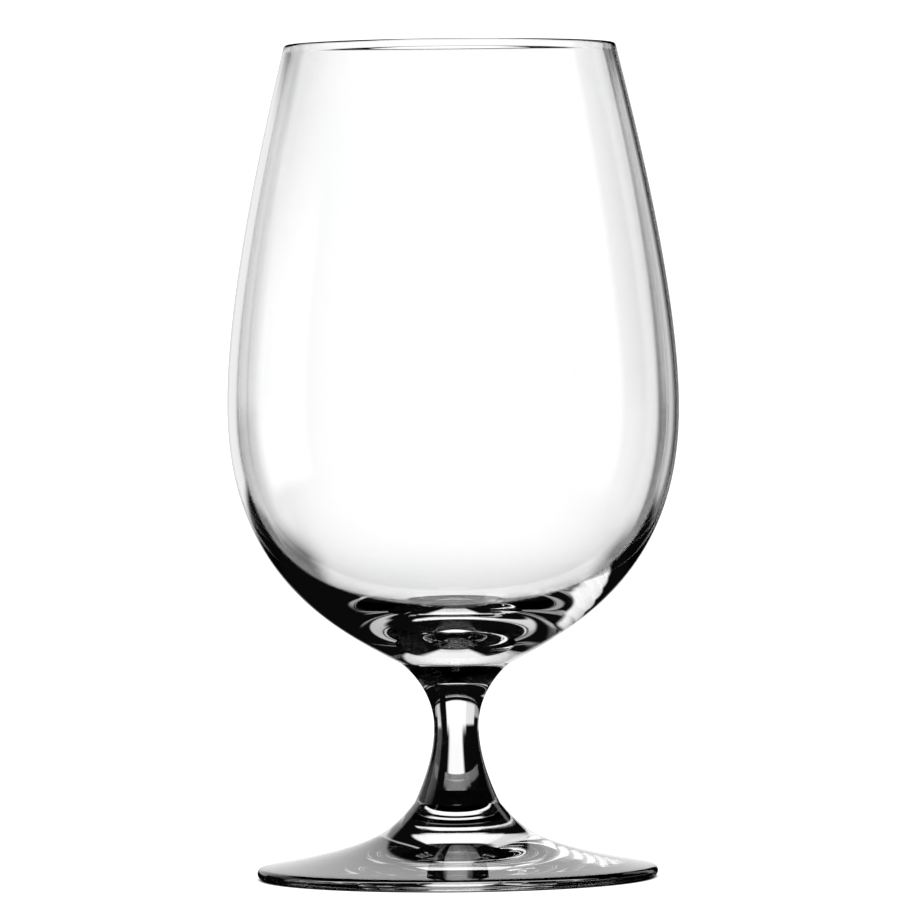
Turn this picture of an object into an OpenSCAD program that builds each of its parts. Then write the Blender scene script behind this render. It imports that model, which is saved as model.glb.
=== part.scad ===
// Stemmed water goblet in clear crystal glass.
// A blown bowl, a drawn solid stem and a spun foot stand on one axis and are fused at two flat joints.
// Millimetres, +Z up, origin on the table under the middle of the foot.

/* [Bowl] */
// Height of the bowl, from its joint with the stem up to the rim
bowl_h = 118.8; // [100:0.2:145]
// Outside diameter of the rim
rim_d = 64; // [54:0.5:78]
// Outside diameter of the belly, the widest place of the bowl
belly_d = 86.8; // [72:0.2:106]
// Height of the belly above the bowl's joint
belly_h = 49.3; // [41:0.1:60]
// Lean of the wall at the rim, inwards from upright, in degrees
rim_lean = 13.5; // [6:0.5:20]
// Length over which the wall keeps the rim's lean
rim_reach = 12.8; // [6:0.2:20]
// Length over which the wall rises upright from the belly
belly_rise = 23; // [12:0.5:30]
// Length over which the wall drops upright from the belly
belly_drop = 31; // [20:0.5:38]
// Spread of the bowl's underside at the joint, outwards from upright, in degrees
base_spread = 63; // [50:1:72]
// Length over which the underside keeps that spread
base_reach = 16; // [8:0.5:20]

/* [Hollow of the bowl] */
// Thickness of the wall at the rim
rim_t = 1.5; // [0.8:0.1:2.2]
// Thickness of the wall at the belly
belly_t = 1.8; // [1:0.1:2.8]
// Thickness of the glass between the hollow and the bowl's joint
base_t = 6.9; // [5:0.1:12]
// Length over which the hollow's wall drops upright from the belly
hollow_drop = 33; // [22:0.5:37]
// Radius over which the hollow's floor runs out level
hollow_floor_r = 20; // [8:0.5:23]

/* [Stem] */
// Height of the stem between its two joints
stem_h = 26.8; // [20:0.2:70]
// Diameter of the joint between bowl and stem
bowl_joint_d = 21.2; // [16:0.2:28]
// Diameter of the waist, the thinnest place of the stem
waist_d = 8.6; // [7:0.1:12]
// Height of the waist above the joint with the foot
waist_h = 14.6; // [10:0.2:17]
// Spread of the upper flare at the bowl, outwards from upright, in degrees
upper_spread = 54; // [35:1:60]
// Length over which the upper flare keeps that spread
upper_reach = 2.6; // [1:0.1:5]
// Length over which the stem rises upright from the waist
waist_rise = 6.3; // [3:0.1:8]
// Length over which the stem drops upright from the waist
waist_drop = 5.6; // [3:0.1:8]
// Spread of the lower flare at the foot, outwards from upright, in degrees
lower_spread = 25.5; // [15:0.5:40]
// Length over which the lower flare keeps that spread
lower_reach = 3.7; // [1:0.1:5]

/* [Foot] */
// Height of the foot, from the table to its joint with the stem
foot_h = 14.4; // [11:0.1:20]
// Diameter of the foot
foot_d = 77; // [62:0.5:94]
// Diameter of the joint between stem and foot
foot_joint_d = 16.4; // [12:0.2:22]
// Spread of the foot's neck at the joint, outwards from upright, in degrees
neck_spread = 40; // [30:1:55]
// Length over which the neck keeps that spread
neck_reach = 7.6; // [4:0.1:9]
// Fall of the foot's top at its edge, below level, in degrees
edge_fall = 10; // [4:1:14]
// Length over which the top keeps that fall
edge_reach = 22.4; // [12:0.2:25]
// Thickness of the foot's half-round edge
edge_t = 2.2; // [1.6:0.1:3.2]
// Width of the flat ring on which the foot stands
rest_w = 5.4; // [3:0.2:9]
// Height of the hollow under the foot
under_h = 2.4; // [0.8:0.1:4]
// Rise of that hollow where it leaves the flat ring, above level, in degrees
under_rise = 6; // [2:1:14]
// Length over which the hollow keeps that rise, and runs level at its middle
under_reach = 11; // [4:0.5:13]

/* [Smoothness] */
// Straight steps along each curve of an outline
curve_steps = 28; // [12:2:48]
// Straight steps along each half-round edge
edge_steps = 10; // [6:2:20]

/* [Hidden] */
$fn = 180;
glass = [0.9, 0.93, 0.94, 0.4];

stem_z = foot_h;
bowl_z = foot_h + stem_h;
rest_out_r = foot_d / 2 - edge_t / 2;
rest_in_r = rest_out_r - rest_w;

// Direction that leans a degrees outwards from upright, or inwards if a is negative
function leaning(a) = [sin(a), cos(a)];

// Point at t along the smooth curve from a to b, which leaves along a_pull and arrives along b_pull
function curve_point(a, a_pull, b_pull, b, t) =
    let (s = 1 - t)
    s * s * s * a + 3 * s * s * t * (a + a_pull) + 3 * s * t * t * (b - b_pull) + t * t * t * b;

// Points of that curve after a, which the stretch before it ends on
function curve(a, a_pull, b_pull, b) =
    [for (i = [1 : curve_steps]) curve_point(a, a_pull, b_pull, b, i / curve_steps)];

// Points of a round edge about c, after its first one
function round_edge(c, r, from, to) =
    [for (i = [1 : edge_steps]) let (a = from + (to - from) * i / edge_steps) c + r * [cos(a), sin(a)]];

// Turns an outline, drawn as radius and height, round the goblet's axis
module turned(outline) {
    color(glass) rotate_extrude() polygon(outline);
}

module bowl() {
    joint = [bowl_joint_d / 2, 0];
    belly = [belly_d / 2, belly_h];
    lip = [rim_d / 2 - rim_t / 2, bowl_h - rim_t / 2];
    lip_side = rim_t / 2 * [cos(rim_lean), sin(rim_lean)];
    inner_belly = belly - [belly_t, 0];
    floor = [0, base_t];
    translate([0, 0, bowl_z]) turned(concat(
        [[0, 0], joint],
        curve(joint, base_reach * leaning(base_spread), [0, belly_drop], belly),
        curve(belly, [0, belly_rise], rim_reach * leaning(-rim_lean), lip + lip_side),
        round_edge(lip, rim_t / 2, rim_lean, rim_lean + 180),
        curve(lip - lip_side, -rim_reach * leaning(-rim_lean), [0, -belly_rise], inner_belly),
        curve(inner_belly, [0, -hollow_drop], [-hollow_floor_r, 0], floor)
    ));
}

module stem() {
    lower = [foot_joint_d / 2, 0];
    waist = [waist_d / 2, waist_h];
    upper = [bowl_joint_d / 2, stem_h];
    translate([0, 0, stem_z]) turned(concat(
        [[0, 0], lower],
        curve(lower, lower_reach * leaning(-lower_spread), [0, waist_drop], waist),
        curve(waist, [0, waist_rise], upper_reach * leaning(upper_spread), upper),
        [[0, stem_h]]
    ));
}

module foot() {
    neck = [foot_joint_d / 2, foot_h];
    edge = [rest_out_r, edge_t / 2];
    edge_top = edge + edge_t / 2 * [sin(edge_fall), cos(edge_fall)];
    edge_run = [cos(edge_fall), -sin(edge_fall)];
    rest = [rest_in_r, 0];
    under_run = [-cos(under_rise), sin(under_rise)];
    turned(concat(
        [[0, foot_h], neck],
        curve(neck, -neck_reach * leaning(-neck_spread), edge_reach * edge_run, edge_top),
        round_edge(edge, edge_t / 2, 90 - edge_fall, -90),
        [rest],
        curve(rest, under_reach * under_run, [-under_reach, 0], [0, under_h])
    ));
}

bowl();
stem();
foot();
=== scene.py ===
import math

import bmesh
import bpy
from mathutils import Matrix, Vector


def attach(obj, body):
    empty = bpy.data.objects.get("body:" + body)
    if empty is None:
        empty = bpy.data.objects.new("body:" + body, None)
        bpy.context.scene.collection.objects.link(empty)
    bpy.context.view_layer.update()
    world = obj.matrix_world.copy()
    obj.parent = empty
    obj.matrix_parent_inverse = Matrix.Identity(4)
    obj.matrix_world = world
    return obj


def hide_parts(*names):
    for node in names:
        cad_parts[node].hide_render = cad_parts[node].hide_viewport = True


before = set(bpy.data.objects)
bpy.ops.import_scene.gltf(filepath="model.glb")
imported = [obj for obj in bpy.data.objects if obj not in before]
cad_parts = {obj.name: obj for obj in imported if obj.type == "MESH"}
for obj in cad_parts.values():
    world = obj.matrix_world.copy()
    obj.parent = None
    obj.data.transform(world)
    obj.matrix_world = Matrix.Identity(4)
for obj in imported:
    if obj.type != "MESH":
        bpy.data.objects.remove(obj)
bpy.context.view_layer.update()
scene = bpy.context.scene
print("frame loaded:", ", ".join(sorted(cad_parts)))


# a socket of a node tree; arithmetic on it adds Math nodes
class Wire:
    def __init__(self, nodes, socket):
        self.nodes = nodes
        self.socket = socket

    def math(self, operation, *others):
        values = dict(enumerate((self, *others)))
        return self.nodes.add("ShaderNodeMath", {"operation": operation}, values)

    def flipped(self, operation, first):
        return self.nodes.add("ShaderNodeMath", {"operation": operation}, {0: first, 1: self})

    def __add__(self, other):
        return self.math("ADD", other)

    def __radd__(self, other):
        return self.flipped("ADD", other)

    def __sub__(self, other):
        return self.math("SUBTRACT", other)

    def __rsub__(self, other):
        return self.flipped("SUBTRACT", other)

    def __mul__(self, other):
        return self.math("MULTIPLY", other)

    def __rmul__(self, other):
        return self.flipped("MULTIPLY", other)

    def __truediv__(self, other):
        return self.math("DIVIDE", other)

    def __rtruediv__(self, other):
        return self.flipped("DIVIDE", other)

    def __neg__(self):
        return self.math("MULTIPLY", -1.0)


class Nodes:
    def __init__(self, tree):
        self.tree = tree

    # settings go on first, because they can change a node's sockets
    def add(self, kind, settings=None, sockets=None, output=0):
        node = self.tree.nodes.new(kind)
        for name, value in (settings or {}).items():
            if name == "stops":
                self.setStops(node.color_ramp, value)
            else:
                setattr(node, name, value)
        for key, value in (sockets or {}).items():
            for each in value if isinstance(value, list) else [value]:
                if isinstance(each, Wire):
                    self.tree.links.new(each.socket, node.inputs[key])
                else:
                    node.inputs[key].default_value = each
        return Wire(self, node.outputs[output]) if len(node.outputs) else node

    def setStops(self, ramp, stops):
        while len(ramp.elements) < len(stops):
            ramp.elements.new(1.0)
        for element, (place, colour) in zip(ramp.elements, stops):
            element.position = place
            element.color = colour

    # smooth step from 0 at start to 1 at end, whichever of the two is larger
    def smooth(self, value, start, end):
        return self.add("ShaderNodeMapRange", {"interpolation_type": "SMOOTHSTEP"},
                        {"Value": value, "From Min": start, "From Max": end})

    # 0 where a face is seen face-on, 1 where it is seen edge-on
    def slant(self):
        return self.add("ShaderNodeLayerWeight", None, None, "Facing")


weldDistance = 2e-6  # points nearer to each other than this become one
sharpAngle = math.radians(24)  # faces that meet at more than this keep a crisp edge between them


# lathe: an outline of stretches, whose points are pairs of radius and height, is turned round the axis
class Lathe(Nodes):
    def __init__(self, name, sizes):
        super().__init__(bpy.data.node_groups.new(name, "GeometryNodeTree"))
        self.sizes = sizes
        for size, value in sizes.items():
            kind = "NodeSocketInt" if isinstance(value, int) else "NodeSocketFloat"
            self.tree.interface.new_socket(size, in_out="INPUT", socket_type=kind)
        self.tree.interface.new_socket("Glass", in_out="INPUT", socket_type="NodeSocketMaterial")
        self.tree.interface.new_socket("Piece", in_out="OUTPUT", socket_type="NodeSocketGeometry")
        self.inputs = self.tree.nodes.new("NodeGroupInput")
        self.stretches = []

    def size(self, name):
        return Wire(self, self.inputs.outputs[name])

    def place(self, point):
        return self.add("ShaderNodeCombineXYZ", None, {"X": point[0], "Z": point[1]})

    # a smooth stretch that leaves a along aPull and arrives at b along bPull
    def curve(self, a, aPull, bPull, b):
        ends = {"Start": self.place(a), "Start Handle": self.place(aPull),
                "End Handle": self.place(opposite(bPull)), "End": self.place(b)}
        self.stretches.append(self.add("GeometryNodeCurvePrimitiveBezierSegment", {"mode": "OFFSET"},
                                       {"Resolution": self.size("Steps along a curve"), **ends}))

    def roundEdge(self, a, middle, b):
        ends = {"Start": self.place(a), "Middle": self.place(middle), "End": self.place(b)}
        self.stretches.append(self.add("GeometryNodeCurveArc", {"mode": "POINTS"},
                                       {"Resolution": self.size("Steps along an edge"), **ends}))

    def straight(self, a, b):
        self.stretches.append(self.add("GeometryNodeCurvePrimitiveLine", {"mode": "POINTS"},
                                       {"Start": self.place(a), "End": self.place(b)}))

    def attribute(self, name):
        return self.add("GeometryNodeInputNamedAttribute", {"data_type": "FLOAT"}, {"Name": name})

    def keep(self, geometry, name, value):
        return self.add("GeometryNodeStoreNamedAttribute", {"data_type": "FLOAT", "domain": "POINT"},
                        {"Geometry": geometry, "Name": name, "Value": value})

    # the outline is swept along a straight rail, and each point is then put at its own turn round the axis
    def turn(self):
        outline = self.add("GeometryNodeJoinGeometry", None, {"Geometry": self.stretches})
        outline = self.add("GeometryNodeResampleCurve", {"mode": "EVALUATED"}, {"Curve": outline})
        position = self.add("GeometryNodeInputPosition")
        for name, axis in (("outlineRadius", "X"), ("outlineHeight", "Z")):
            part = self.add("ShaderNodeSeparateXYZ", None, {"Vector": position}, axis)
            outline = self.keep(outline, name, part)
        rail = self.add("GeometryNodeCurvePrimitiveLine", {"mode": "POINTS"}, {"End": (0.0, 1.0, 0.0)})
        rail = self.add("GeometryNodeResampleCurve", {"mode": "COUNT"},
                        {"Curve": rail, "Count": self.size("Steps around") + 1})
        rail = self.keep(rail, "turnShare", self.add("GeometryNodeSplineParameter"))
        piece = self.add("GeometryNodeCurveToMesh", None, {"Curve": rail, "Profile Curve": outline})
        angle = self.attribute("turnShare") * math.tau
        radius = self.attribute("outlineRadius")
        spot = self.add("ShaderNodeCombineXYZ", None, {
            "X": radius * angle.math("COSINE"), "Y": radius * angle.math("SINE"),
            "Z": self.attribute("outlineHeight")})
        piece = self.add("GeometryNodeSetPosition", None, {"Geometry": piece, "Position": spot})
        for name in ("outlineRadius", "outlineHeight", "turnShare"):
            piece = self.add("GeometryNodeRemoveAttribute", None, {"Geometry": piece, "Name": name})
        piece = self.add("GeometryNodeMergeByDistance", None, {"Geometry": piece, "Distance": weldDistance})
        piece = self.add("GeometryNodeSetShadeSmooth", None, {"Geometry": piece})
        piece = self.add("GeometryNodeRealizeInstances", None, {"Geometry": piece})
        piece = self.add("GeometryNodeSetMaterial", None, {"Geometry": piece, "Material": self.size("Glass")})
        self.add("NodeGroupOutput", None, {"Piece": piece})

    # the tree's result as a plain mesh object at the origin
    # level faces at the joint heights get the joint's material
    def make(self, name, glass, joint, jointHeights):
        piece = bpy.data.objects.new(name, bpy.data.meshes.new(name))
        scene.collection.objects.link(piece)
        lathe = piece.modifiers.new("lathe", "NODES")
        lathe.node_group = self.tree
        for item in self.tree.interface.items_tree:
            if item.in_out == "INPUT":
                lathe[item.identifier] = glass if item.name == "Glass" else self.sizes[item.name]
        evaluated = piece.evaluated_get(bpy.context.evaluated_depsgraph_get())
        mesh = bpy.data.meshes.new_from_object(evaluated)
        piece.modifiers.clear()
        piece.data = mesh
        mesh.name = name
        mesh.materials.clear()
        mesh.materials.append(glass)
        mesh.materials.append(joint)
        shell = bmesh.new()
        shell.from_mesh(mesh)
        bmesh.ops.remove_doubles(shell, verts=shell.verts, dist=weldDistance)
        bmesh.ops.recalc_face_normals(shell, faces=shell.faces)
        for face in shell.faces:
            face.smooth = True
            fused = any(all(abs(corner.co.z - height) < weldDistance for corner in face.verts)
                        for height in jointHeights)
            face.material_index = 1 if fused else 0
        openEdges = sum(not edge.is_manifold for edge in shell.edges)
        volume = shell.calc_volume(signed=True) * 1e9  # cubic metres to mm3
        print(f"{name}: {len(shell.faces)} faces, {openEdges} open edges, {volume:.0f} mm3")
        shell.to_mesh(mesh)
        shell.free()
        mesh.set_sharp_from_angle(angle=sharpAngle)
        return piece


def plus(a, b):
    return a[0] + b[0], a[1] + b[1]


def opposite(a):
    return -a[0], -a[1]


# a pull of this reach that leans outwards from upright by the angle, or inwards if it is negative
def leaning(angle, reach):
    return reach * angle.math("SINE"), reach * angle.math("COSINE")


# a pull of this reach that runs outwards and falls below level by the angle
def falling(angle, reach):
    return reach * angle.math("COSINE"), -(reach * angle.math("SINE"))


def emptyMaterial(name):
    material = bpy.data.materials.new(name)
    material.use_nodes = True
    material.node_tree.nodes.clear()
    return material, Nodes(material.node_tree)


white = (1.0, 1.0, 1.0, 1.0)
black = (0.0, 0.0, 0.0, 1.0)

# clear crystal: faint ripples with a slight change of tint, a trace of handling where the smear is above
# its start, and a painted shade that darkens its colour where it is seen edge-on, for dark outlines
crystal = {"ior": 1.52, "rippleScale": 38.0, "rippleDetail": 1.0, "rippleHeight": 0.00001,
           "tints": [(0.3, white), (0.8, (0.989, 0.992, 0.993, 1.0))],
           "smearScale": 60.0, "smearDetail": 3.0, "smearStart": 0.5, "clean": 0.0, "smeared": 0.006,
           # painted shade: these stops darken the glass's colour where it is seen edge-on
           "paintedEdgeShadeStops": [(0.84, white), (0.92, (0.05, 0.05, 0.05, 1.0))]}


def glassMaterial(name):
    material, nodes = emptyMaterial(name)
    spot = nodes.add("ShaderNodeTexCoord", None, None, "Object")
    smear = nodes.add("ShaderNodeTexNoise", None, {
        "Vector": spot, "Scale": crystal["smearScale"], "Detail": crystal["smearDetail"]})
    handled = (smear - crystal["smearStart"]).math("MAXIMUM", 0.0) / (1.0 - crystal["smearStart"])
    ripple = nodes.add("ShaderNodeTexNoise", None, {
        "Vector": spot, "Scale": crystal["rippleScale"], "Detail": crystal["rippleDetail"]})
    tint = nodes.add("ShaderNodeValToRGB", {"stops": crystal["tints"]}, {"Fac": ripple})
    # painted shade: the glass's colour goes dark where it is seen edge-on, standing in for dark outlines
    paintedEdgeShade = nodes.add("ShaderNodeValToRGB", {"stops": crystal["paintedEdgeShadeStops"]}, {"Fac": nodes.slant()})
    glass = nodes.add("ShaderNodeBsdfPrincipled", None, {
        "Base Color": nodes.add("ShaderNodeVectorMath", {"operation": "MULTIPLY"}, {0: tint, 1: paintedEdgeShade}),
        "Roughness": handled * crystal["smeared"] + crystal["clean"],
        "Normal": nodes.add("ShaderNodeBump", None, {
            "Strength": 1.0, "Distance": crystal["rippleHeight"], "Height": ripple}),
        "Transmission Weight": 1.0, "IOR": crystal["ior"]})
    nodes.add("ShaderNodeOutputMaterial", None, {"Surface": glass})
    return material


# light goes straight through where two pieces are fused, and where the foot's flat ring lies on the floor
def jointMaterial(name):
    material, nodes = emptyMaterial(name)
    glass = nodes.add("ShaderNodeBsdfPrincipled", None, {
        "Base Color": white, "Roughness": 0.0, "Transmission Weight": 1.0, "IOR": 1.0})
    nodes.add("ShaderNodeOutputMaterial", None, {"Surface": glass})
    return material


clearCrystal = glassMaterial("clearCrystal")
fusedJoint = jointMaterial("fusedJoint")
print("materials ready")

# the two fused joints, which the pieces share
joints = {"bowlHeight": 0.0412, "bowlDiameter": 0.0212, "footHeight": 0.0144, "footDiameter": 0.0164}
floorHeight = 0.0
steps = {"Steps around": 256, "Steps along a curve": 40, "Steps along an edge": 17}

bowlSizes = {
    "Joint height": joints["bowlHeight"], "Joint diameter": joints["bowlDiameter"],
    "Height": 0.1188, "Rim diameter": 0.064, "Belly diameter": 0.0868, "Belly height": 0.0493,
    "Rim lean": math.radians(13.5), "Rim reach": 0.0128, "Belly rise": 0.023, "Belly drop": 0.031,
    "Base spread": math.radians(63), "Base reach": 0.016,
    "Rim wall": 0.0015, "Belly wall": 0.0018, "Base wall": 0.0069,
    "Hollow drop": 0.033, "Hollow floor": 0.02, **steps}


def bowlLathe():
    lathe = Lathe("bowlLathe", bowlSizes)
    size = lathe.size
    low = size("Joint height")
    lean = size("Rim lean")
    lipR = size("Rim wall") / 2
    lip = (size("Rim diameter") / 2 - lipR, low + size("Height") - lipR)
    side = (lipR * lean.math("COSINE"), lipR * lean.math("SINE"))
    lipOut = plus(lip, side)
    lipTop = plus(lip, (-side[1], side[0]))
    lipIn = plus(lip, opposite(side))
    joint = (size("Joint diameter") / 2, low)
    belly = (size("Belly diameter") / 2, low + size("Belly height"))
    innerBelly = (belly[0] - size("Belly wall"), belly[1])
    floor = (0.0, low + size("Base wall"))
    rimRun = leaning(-lean, size("Rim reach"))
    bellyRise = (0.0, size("Belly rise"))
    lathe.straight((0.0, low), joint)
    lathe.curve(joint, leaning(size("Base spread"), size("Base reach")), (0.0, size("Belly drop")), belly)
    lathe.curve(belly, bellyRise, rimRun, lipOut)
    lathe.roundEdge(lipOut, lipTop, lipIn)
    lathe.curve(lipIn, opposite(rimRun), opposite(bellyRise), innerBelly)
    lathe.curve(innerBelly, (0.0, -size("Hollow drop")), (-size("Hollow floor"), 0.0), floor)
    lathe.turn()
    return lathe


stemSizes = {
    "Joint height": joints["footHeight"], "Height": joints["bowlHeight"] - joints["footHeight"],
    "Foot joint diameter": joints["footDiameter"], "Bowl joint diameter": joints["bowlDiameter"],
    "Waist diameter": 0.0086, "Waist height": 0.0146, "Waist rise": 0.0063, "Waist drop": 0.0056,
    "Upper spread": math.radians(54), "Upper reach": 0.0026,
    "Lower spread": math.radians(25.5), "Lower reach": 0.0037, **steps}


def stemLathe():
    lathe = Lathe("stemLathe", stemSizes)
    size = lathe.size
    low = size("Joint height")
    high = low + size("Height")
    lower = (size("Foot joint diameter") / 2, low)
    waist = (size("Waist diameter") / 2, low + size("Waist height"))
    upper = (size("Bowl joint diameter") / 2, high)
    lathe.straight((0.0, low), lower)
    lathe.curve(lower, leaning(-size("Lower spread"), size("Lower reach")), (0.0, size("Waist drop")), waist)
    lathe.curve(waist, (0.0, size("Waist rise")), leaning(size("Upper spread"), size("Upper reach")), upper)
    lathe.straight(upper, (0.0, high))
    lathe.turn()
    return lathe


footSizes = {
    "Height": joints["footHeight"], "Diameter": 0.077, "Joint diameter": joints["footDiameter"],
    "Neck spread": math.radians(40), "Neck reach": 0.0076,
    "Edge fall": math.radians(10), "Edge reach": 0.0224, "Edge thickness": 0.0022, "Ring width": 0.0054,
    "Hollow height": 0.0024, "Hollow rise": math.radians(6), "Hollow reach": 0.011, **steps}


def footLathe():
    lathe = Lathe("footLathe", footSizes)
    size = lathe.size
    edgeR = size("Edge thickness") / 2
    fall = size("Edge fall")
    neck = (size("Joint diameter") / 2, size("Height"))
    edge = (size("Diameter") / 2 - edgeR, edgeR)
    edgeTop = plus(edge, leaning(fall, edgeR))
    edgeMiddle = plus(edge, falling(fall / 2, edgeR))
    edgeLow = (edge[0], edge[1] - edgeR)
    rest = (edge[0] - size("Ring width"), floorHeight)
    neckRun = opposite(leaning(-size("Neck spread"), size("Neck reach")))
    hollowRun = opposite(falling(size("Hollow rise"), size("Hollow reach")))
    lathe.straight((0.0, size("Height")), neck)
    lathe.curve(neck, neckRun, falling(fall, size("Edge reach")), edgeTop)
    lathe.roundEdge(edgeTop, edgeMiddle, edgeLow)
    lathe.straight(edgeLow, rest)
    lathe.curve(rest, hollowRun, (-size("Hollow reach"), 0.0), (0.0, size("Hollow height")))
    lathe.turn()
    return lathe


bowlJoint = joints["bowlHeight"]
footJoint = joints["footHeight"]
bowlGlass = bowlLathe().make("bowlGlass", clearCrystal, fusedJoint, [bowlJoint])
stemGlass = stemLathe().make("stemGlass", clearCrystal, fusedJoint, [bowlJoint, footJoint])
footGlass = footLathe().make("footGlass", clearCrystal, fusedJoint, [footJoint, floorHeight])
for piece, node in ((bowlGlass, "bowl"), (stemGlass, "stem"), (footGlass, "foot")):
    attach(piece, "root")
    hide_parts(node)
    piece.visible_shadow = False  # the floor has a shade of its own
print("pieces placed")


# camera where the photograph was taken from; the frame's width is measured at the aim
shot = {"distance": 1.476, "height": 0.108, "aim": (-0.0007, 0.0, 0.0821), "roll": math.radians(-0.57),
        "frameWidth": 0.1728, "sensorWidth": 36.0, "farthest": 20.0}


def makeCamera():
    data = bpy.data.cameras.new("camera")
    camera = bpy.data.objects.new("camera", data)
    scene.collection.objects.link(camera)
    place = Vector((shot["aim"][0], -shot["distance"], shot["height"]))
    ahead = Vector(shot["aim"]) - place
    turn = ahead.to_track_quat("-Z", "Y").to_matrix() @ Matrix.Rotation(shot["roll"], 3, "Z")
    camera.matrix_world = Matrix.Translation(place) @ turn.to_4x4()
    data.sensor_width = shot["sensorWidth"]
    data.lens = shot["sensorWidth"] * ahead.length / shot["frameWidth"]
    data.clip_end = shot["farthest"]
    scene.camera = camera
    return camera


camera = makeCamera()
print("camera ready")

# studio: a white floor and backdrop that only the camera sees, and light cards on a stand that turns with it
studio = {"sweepStrength": 1.25, "backdropDistance": 3.2, "backdropHalf": 1.0, "floorRadius": 2.4,
          "floorGap": 0.0002, "discSides": 96, "roomStrength": 0.003, "standHeight": 0.08,
          "glassBounces": 40, "otherBounces": 24}

# each card: its turn to the right in degrees and its distance from the glass, its left and right and its low
# and high edges, and how much of it fades out at those edges
cards = {
    "hotSpot": {"turn": 0.0, "distance": 0.295, "across": (-0.085, 0.085), "upright": (-0.13, 0.125),
                "strength": 1.23, "fade": (0.4, 0.4, 0.45, 0.15)},
    "panel": {"turn": 0.0, "distance": 0.30, "across": (-0.10, 0.098), "upright": (-0.10, 0.125),
              "strength": 1.08, "fade": (0.06, 0.06, 0.3, 0.08)},
    "lowPanel": {"turn": 0.0, "distance": 0.31, "across": (-0.066, 0.085), "upright": (-0.33, 0.02),
                 "strength": 1.06, "fade": (0.15, 0.2, 0.12, 0.1)},
    "leftWing": {"turn": -27.0, "distance": 0.32, "across": (-0.085, 0.085), "upright": (-0.065, 0.14),
                 "strength": 0.85, "fade": (0.15, 0.0, 0.12, 0.2)},
    "leftSide": {"turn": -50.0, "distance": 0.33, "across": (-0.10, 0.10), "upright": (-0.01, 0.15),
                 "strength": 0.42, "fade": (0.1, 0.1, 0.2, 0.2)},
    "leftBox": {"turn": -84.0, "distance": 0.32, "across": (-0.12, 0.11), "upright": (-0.12, 0.18),
                "strength": 1.25, "fade": (0.15, 0.15, 0.12, 0.4)},
    "rightWing": {"turn": 38.0, "distance": 0.31, "across": (-0.045, 0.04), "upright": (-0.08, 0.14),
                  "strength": 0.66, "fade": (0.3, 0.15, 0.15, 0.1)},
    "rightSide": {"turn": 48.0, "distance": 0.315, "across": (-0.045, 0.045), "upright": (0.0, 0.14),
                  "strength": 0.42, "fade": (0.2, 0.3, 0.25, 0.1)},
}

# soft shade on the floor where the foot touches it: it deepens, stays dark and fades out at these radii,
# and it shows only where it is seen at a low slant
shade = {"inner": 0.0315, "dark": (0.0325, 0.0376), "outer": 0.0390, "gap": 0.0001, "slant": (0.29, 0.37)}


# light that thins out to nothing towards a card's edges: left, right, low and high, as shares of the card
def lightMaterial(name, strength, fade=(0.0, 0.0, 0.0, 0.0)):
    material, nodes = emptyMaterial(name)
    spot = nodes.add("ShaderNodeTexCoord", None, None, "UV")
    glow = 1.0
    for axis, low, high in (("X", fade[0], fade[1]), ("Y", fade[2], fade[3])):
        place = nodes.add("ShaderNodeSeparateXYZ", None, {"Vector": spot}, axis)
        for share, width in ((place, low), (1.0 - place, high)):
            if width > 0.0:
                glow = glow * nodes.smooth(share, 0.0, width)
    clear = nodes.add("ShaderNodeBsdfTransparent")
    light = nodes.add("ShaderNodeEmission", None, {"Strength": strength})
    mixed = nodes.add("ShaderNodeMixShader", None, {0: glow, 1: clear, 2: light})
    nodes.add("ShaderNodeOutputMaterial", None, {"Surface": mixed})
    return material


def shadeMaterial(name):
    material, nodes = emptyMaterial(name)
    spot = nodes.add("ShaderNodeTexCoord", None, None, "Object")
    radius = nodes.add("ShaderNodeVectorMath", {"operation": "LENGTH"}, {0: spot}, "Value")
    deepens = nodes.smooth(radius, shade["inner"], shade["dark"][0])
    fades = nodes.smooth(radius, shade["outer"], shade["dark"][1])
    shows = nodes.smooth(nodes.slant(), *shade["slant"])
    clear = nodes.add("ShaderNodeBsdfTransparent")
    dark = nodes.add("ShaderNodeEmission", None, {"Color": black, "Strength": 0.0})
    mixed = nodes.add("ShaderNodeMixShader", None, {0: deepens * fades * shows, 1: clear, 2: dark})
    nodes.add("ShaderNodeOutputMaterial", None, {"Surface": mixed})
    return material


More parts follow.
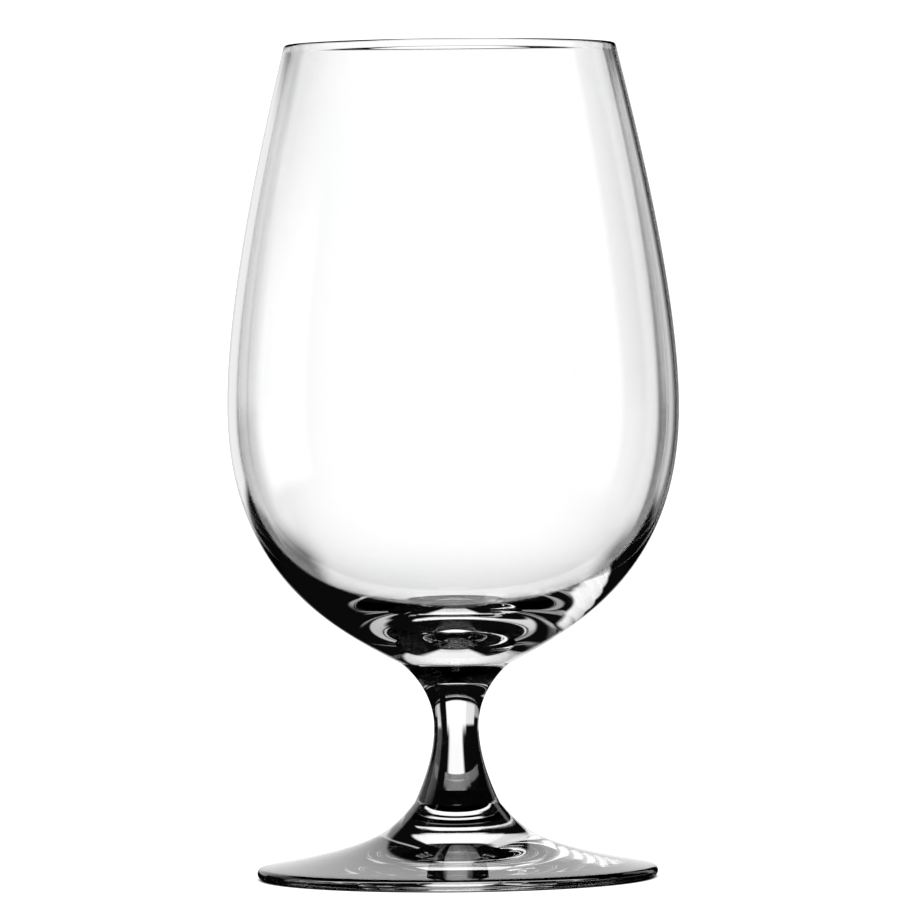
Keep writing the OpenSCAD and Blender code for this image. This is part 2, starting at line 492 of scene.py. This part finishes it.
# one flat face; an oblong one has a UV map, which its fade reads
def card(name, corners, material, parent=None):
    mesh = bpy.data.meshes.new(name)
    mesh.from_pydata(corners, [], [tuple(range(len(corners)))])
    mesh.materials.append(material)
    if len(corners) == 4:
        for place, corner in zip(mesh.uv_layers.new(name="UVMap").data, ((0, 0), (1, 0), (1, 1), (0, 1))):
            place.uv = corner
    made = bpy.data.objects.new(name, mesh)
    scene.collection.objects.link(made)
    made.parent = parent
    made.visible_shadow = False
    made.visible_diffuse = False
    return made


# corners of an upright card, from the low left one round
def oblong(left, right, low, high, depth):
    return [Vector((x, y, depth)) for x, y in ((left, low), (right, low), (right, high), (left, high))]


def disc(name, radius, height, material):
    turns = [math.tau * i / studio["discSides"] for i in range(studio["discSides"])]
    return card(name, [(radius * math.cos(a), radius * math.sin(a), height) for a in turns], material)


def makeSweep():
    material = lightMaterial("whiteSweep", studio["sweepStrength"])
    half = studio["backdropHalf"]
    corners = oblong(-half, half, -half, half, -studio["backdropDistance"])
    backdrop = card("backdrop", corners, material, camera)
    floor = disc("floor", studio["floorRadius"], floorHeight - studio["floorGap"], material)
    for sweep in (floor, backdrop):
        sweep.visible_transmission = False
        sweep.visible_glossy = False
    disc("footShade", shade["outer"], floorHeight - shade["gap"], shadeMaterial("footShade"))


def hangCards():
    stand = bpy.data.objects.new("lightStand", None)
    scene.collection.objects.link(stand)
    stand.location = (0.0, 0.0, studio["standHeight"])
    stand.constraints.new("COPY_ROTATION").target = camera
    for name, one in cards.items():
        turn = Matrix.Rotation(-math.radians(one["turn"]), 3, "Y")
        corners = [turn @ corner for corner in oblong(*one["across"], *one["upright"], -one["distance"])]
        lit = card(name, corners, lightMaterial(name, one["strength"], one["fade"]), stand)
        lit.visible_camera = False


def makeRoom():
    world = bpy.data.worlds.new("room")
    world.use_nodes = True
    world.node_tree.nodes.clear()
    nodes = Nodes(world.node_tree)
    dim = nodes.add("ShaderNodeBackground", None, {"Color": white, "Strength": studio["roomStrength"]})
    nodes.add("ShaderNodeOutputWorld", None, {"Surface": dim})
    scene.world = world


makeSweep()
hangCards()
makeRoom()
scene.view_settings.view_transform = "Standard"  # keeps the white floor and backdrop white
scene.cycles.max_bounces = studio["glassBounces"]
scene.cycles.transmission_bounces = studio["glassBounces"]
scene.cycles.glossy_bounces = studio["otherBounces"]
scene.cycles.transparent_max_bounces = studio["otherBounces"]
scene.cycles.use_denoising = True
print("studio ready")
